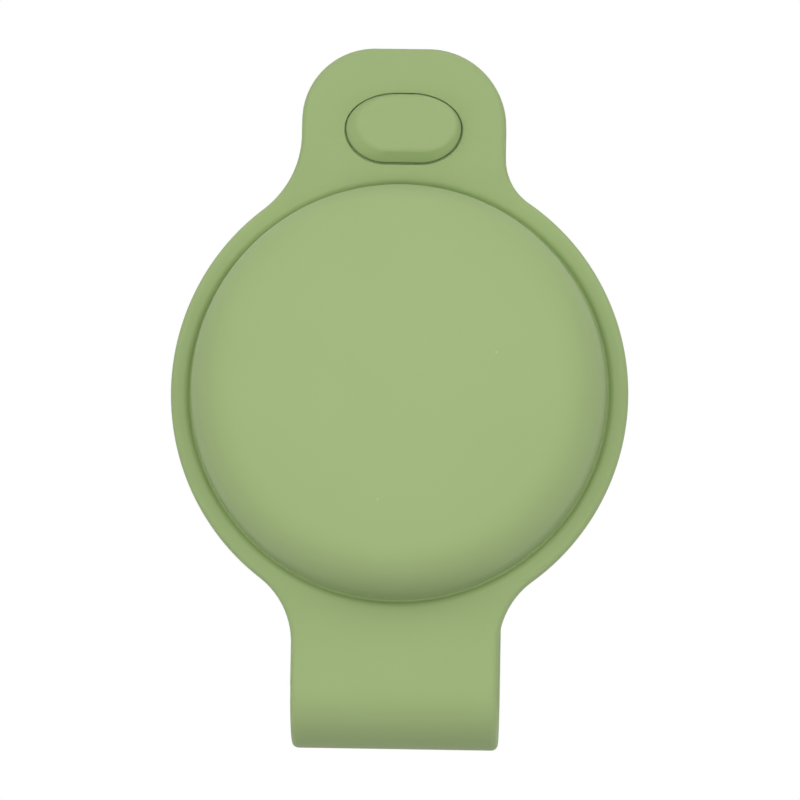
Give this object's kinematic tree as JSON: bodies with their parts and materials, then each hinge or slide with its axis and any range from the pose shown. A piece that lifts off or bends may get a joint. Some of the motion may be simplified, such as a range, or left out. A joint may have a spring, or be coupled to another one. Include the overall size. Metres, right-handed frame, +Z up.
{
  "type": "tracker tag holder",
  "caption": "Soft round tag holder: domed pocket with a rim, a strap folded behind it and an oval stud buttoned through a slotted tab, with a coin-cell tracker tag inside.",
  "frame": {"origin": "middle of the collar channel, between the pocket's back and the rear strap, on the tag's axis", "axes": "+X along the channel, to the right seen from the front; +Y to the back, along the tag's axis; +Z up, from the fold to the tab"},
  "size_m": [0.0378, 0.0169, 0.058],
  "materials": {
    "silicone": "matte soft-touch, sage green",
    "tag_plastic": "gloss white",
    "base_plastic": "satin white",
    "cover_steel": "polished, finely brushed",
    "cell_steel": "plain nickel-plated",
    "seal_rubber": "matte black",
    "gasket_plastic": "matte grey",
    "cathode": "matte black powder pellet",
    "separator": "matte",
    "lithium": "dull grey",
    "contact_metal": "gilt",
    "board": "green solder mask",
    "chip": "matte black",
    "magnet": "nickel-plated",
    "copper_wire": "enamelled copper"
  },
  "bodies": {
    "holder": {"front_shell": "silicone", "tag_cap": "tag_plastic", "tag_base": "base_plastic", "cover_seal": "seal_rubber", "cell_can": "cell_steel", "cell_gasket": "gasket_plastic", "cell_cap": "cell_steel", "cell_cathode": "cathode", "cell_separator": "separator", "cell_anode": "lithium", "positive_contacts": "contact_metal", "negative_contact": "contact_metal", "circuit_board": "board", "board_chips": "chip", "antenna_ring": "contact_metal", "sounder_cup": "cell_steel", "sounder_magnet": "magnet", "voice_coil": "copper_wire"},
    "fold": {"strap_fold": "silicone"},
    "strap": {"rear_strap": "silicone", "closure_stud": "silicone"},
    "cover": {"battery_cover": "cover_steel"}
  },
  "joints": [
    {"name": "strap_open", "type": "hinge", "parent": "holder", "child": "fold", "pos_m": [0, -0.00343, -0.02783], "axis": [-1, 0, 0], "range_deg": [0, 80], "stiffness_Nm_per_rad": 0.006, "springref_deg": -2.86},
    {"name": "strap_open_rear", "type": "hinge", "parent": "fold", "child": "strap", "pos_m": [0, 0.00343, -0.02783], "axis": [-1, 0, 0], "range_deg": [0, 80], "stiffness_Nm_per_rad": 0.006, "springref_deg": -2.86},
    {"name": "cover_twist", "type": "hinge", "parent": "holder", "child": "cover", "pos_m": [0, -0.0028, 0], "axis": [0, 1, 0], "range_deg": [0, 30]}
  ],
  "couplings": [
    {"joint": "strap_open_rear", "follows": "strap_open", "ratio": 1}
  ]
}
